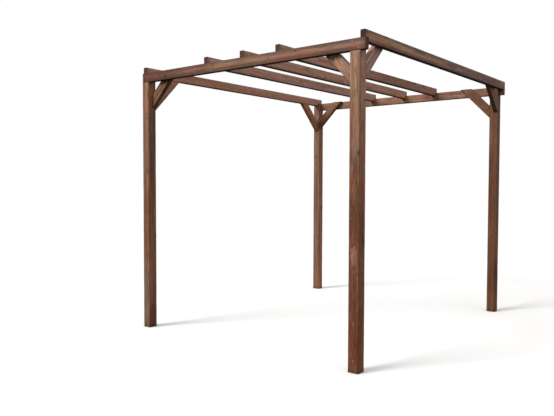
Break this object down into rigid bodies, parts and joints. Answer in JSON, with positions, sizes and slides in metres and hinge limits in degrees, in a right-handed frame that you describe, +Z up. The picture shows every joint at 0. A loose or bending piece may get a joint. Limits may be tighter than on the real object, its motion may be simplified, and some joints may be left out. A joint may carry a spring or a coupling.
{
  "type": "garden pergola",
  "caption": "Freestanding timber garden pergola: square posts, beams let into the post heads, rafters notched over the beams, and mitred knee braces under an open roof.",
  "frame": {"origin": "on the ground, in the middle of the outline seen from above", "axes": "+Z up; X along the beams, with the rafter that passes outside the posts on the +X side; +Y along the rafters, from the front to the back"},
  "size_m": [2.52, 3, 2.555],
  "materials": {
    "post_timber": "planed softwood, brown preservative stain, matt",
    "beam_timber": "planed softwood, brown preservative stain, matt",
    "rafter_timber": "planed softwood, brown preservative stain, matt",
    "brace_timber": "planed softwood, brown preservative stain, matt",
    "fixing_steel": "zinc-plated screw heads, dulled by weather"
  },
  "bodies": {
    "root": {"post_front_left": "post_timber", "post_front_right": "post_timber", "post_back_left": "post_timber", "post_back_right": "post_timber", "beam_front": "beam_timber", "beam_back": "beam_timber", "rafter_1": "rafter_timber", "rafter_2": "rafter_timber", "rafter_3": "rafter_timber", "rafter_4": "rafter_timber", "rafter_5": "rafter_timber", "brace_front_left_beam": "brace_timber", "brace_front_left_rafter": "brace_timber", "brace_front_right_beam": "brace_timber", "brace_front_right_rafter": "brace_timber", "brace_back_left_beam": "brace_timber", "brace_back_left_rafter": "brace_timber", "brace_back_right_beam": "brace_timber", "brace_back_right_rafter": "brace_timber"}
  },
  "joints": []
}
